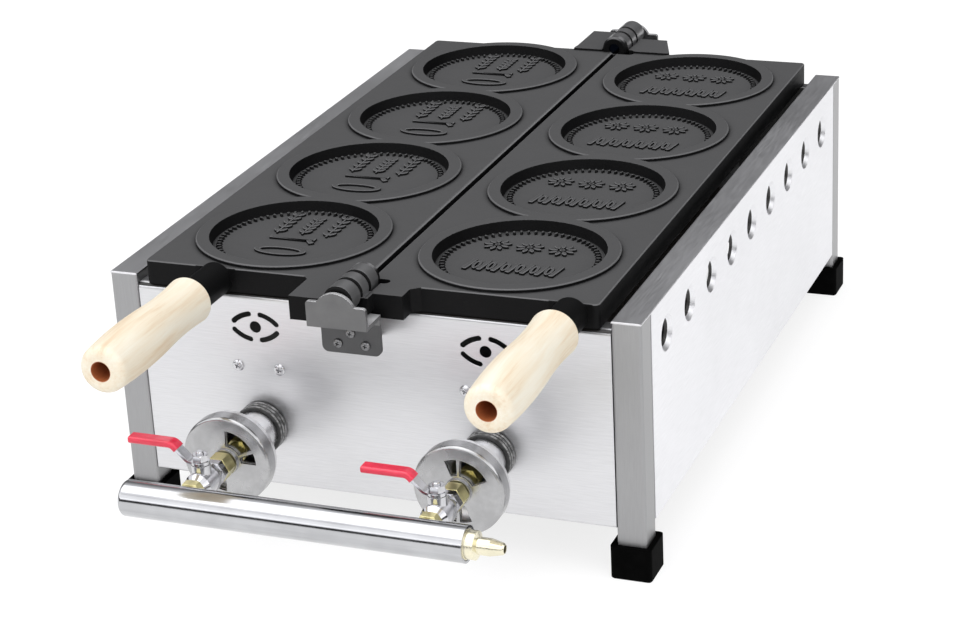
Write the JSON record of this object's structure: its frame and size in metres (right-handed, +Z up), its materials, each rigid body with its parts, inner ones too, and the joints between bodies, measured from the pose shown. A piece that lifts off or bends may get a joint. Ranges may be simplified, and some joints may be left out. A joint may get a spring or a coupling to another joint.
{
  "type": "coin waffle maker",
  "caption": "Gas coin waffle maker: two hinged cast mould plates with round cavities lie open over a stainless burner box; wooden grips, valves and a front manifold.",
  "frame": {"origin": "centre of the footprint box, on the plane the boots stand on", "axes": "+X to the right seen from the handles, +Y from the handles to the back along the hinge line, +Z up"},
  "size_m": [0.3418, 0.6536, 0.1817],
  "materials": {
    "panel_steel": "satin stainless sheet",
    "leg_steel": "satin stainless tube",
    "boot_rubber": "matt moulded rubber",
    "mould_iron": "non-stick coated casting",
    "rod_steel": "turned",
    "ferrule_steel": "blued bright ring",
    "grip_wood": "sanded, unvarnished",
    "bracket_steel": "plain plate",
    "pin_steel": "turned",
    "screw_steel": "bright zinc",
    "burner_iron": "rough casting",
    "collar_black": "black",
    "mixer_alloy": "cast and turned",
    "shutter_steel": "polished disc",
    "fitting_brass": "machined",
    "valve_chrome": "plated",
    "sleeve_red": "dipped vinyl",
    "manifold_steel": "polished tube"
  },
  "bodies": {
    "housing": {"bracket_screws": "screw_steel", "burner_screws": "screw_steel", "front_hinge_bracket": "bracket_steel", "front_hinge_pin": "pin_steel", "front_hinge_standoff": "bracket_steel", "front_left_boot": "boot_rubber", "front_left_leg": "leg_steel", "front_panel": "panel_steel", "front_right_boot": "boot_rubber", "front_right_leg": "leg_steel", "hose_nozzle": "fitting_brass", "left_burner": "burner_iron", "left_burner_hanger": "bracket_steel", "left_collar": "collar_black", "left_injector": "fitting_brass", "left_inlet_nut": "fitting_brass", "left_mixer": "mixer_alloy", "left_outlet_nut": "fitting_brass", "left_side_panel": "panel_steel", "left_valve_body": "valve_chrome", "manifold": "manifold_steel", "rear_burner_supports": "bracket_steel", "rear_hinge_bracket": "bracket_steel", "rear_hinge_pin": "pin_steel", "rear_hinge_standoff": "bracket_steel", "rear_left_boot": "boot_rubber", "rear_left_leg": "leg_steel", "rear_panel": "panel_steel", "rear_right_boot": "boot_rubber", "rear_right_leg": "leg_steel", "right_burner": "burner_iron", "right_burner_hanger": "bracket_steel", "right_collar": "collar_black", "right_injector": "fitting_brass", "right_inlet_nut": "fitting_brass", "right_mixer": "mixer_alloy", "right_outlet_nut": "fitting_brass", "right_side_panel": "panel_steel", "right_valve_body": "valve_chrome"},
    "left_plate": {"left_mould_plate": "mould_iron", "left_handle_rod": "rod_steel", "left_ferrule": "ferrule_steel", "left_grip": "grip_wood"},
    "left_valve_lever": {"left_lever": "valve_chrome", "left_lever_sleeve": "sleeve_red", "left_lever_nut": "valve_chrome", "left_valve_stem": "valve_chrome", "left_valve_ball": "valve_chrome"},
    "left_shutter": {"left_air_shutter": "shutter_steel"},
    "right_plate": {"right_mould_plate": "mould_iron", "right_handle_rod": "rod_steel", "right_ferrule": "ferrule_steel", "right_grip": "grip_wood"},
    "right_valve_lever": {"right_lever": "valve_chrome", "right_lever_sleeve": "sleeve_red", "right_lever_nut": "valve_chrome", "right_valve_stem": "valve_chrome", "right_valve_ball": "valve_chrome"},
    "right_shutter": {"right_air_shutter": "shutter_steel"}
  },
  "joints": [
    {"name": "left_plate_hinge", "type": "hinge", "parent": "housing", "child": "left_plate", "pos_m": [0, 0, 0.17275], "axis": [0, 1, 0], "range_deg": [0, 180]},
    {"name": "left_gas_valve", "type": "hinge", "parent": "housing", "child": "left_valve_lever", "pos_m": [-0.0731, -0.2678, 0.084], "axis": [0, 0, 1], "range_deg": [0, 90]},
    {"name": "left_air_turn", "type": "hinge", "parent": "housing", "child": "left_shutter", "pos_m": [-0.0731, -0.2368, 0.07], "axis": [0, -1, 0], "range_deg": [0, 90]},
    {"name": "right_plate_hinge", "type": "hinge", "parent": "housing", "child": "right_plate", "pos_m": [0, 0, 0.17275], "axis": [0, -1, 0], "range_deg": [0, 180]},
    {"name": "right_gas_valve", "type": "hinge", "parent": "housing", "child": "right_valve_lever", "pos_m": [0.0731, -0.2678, 0.084], "axis": [0, 0, 1], "range_deg": [0, 90]},
    {"name": "right_air_turn", "type": "hinge", "parent": "housing", "child": "right_shutter", "pos_m": [0.0731, -0.2368, 0.07], "axis": [0, -1, 0], "range_deg": [0, 90]}
  ]
}
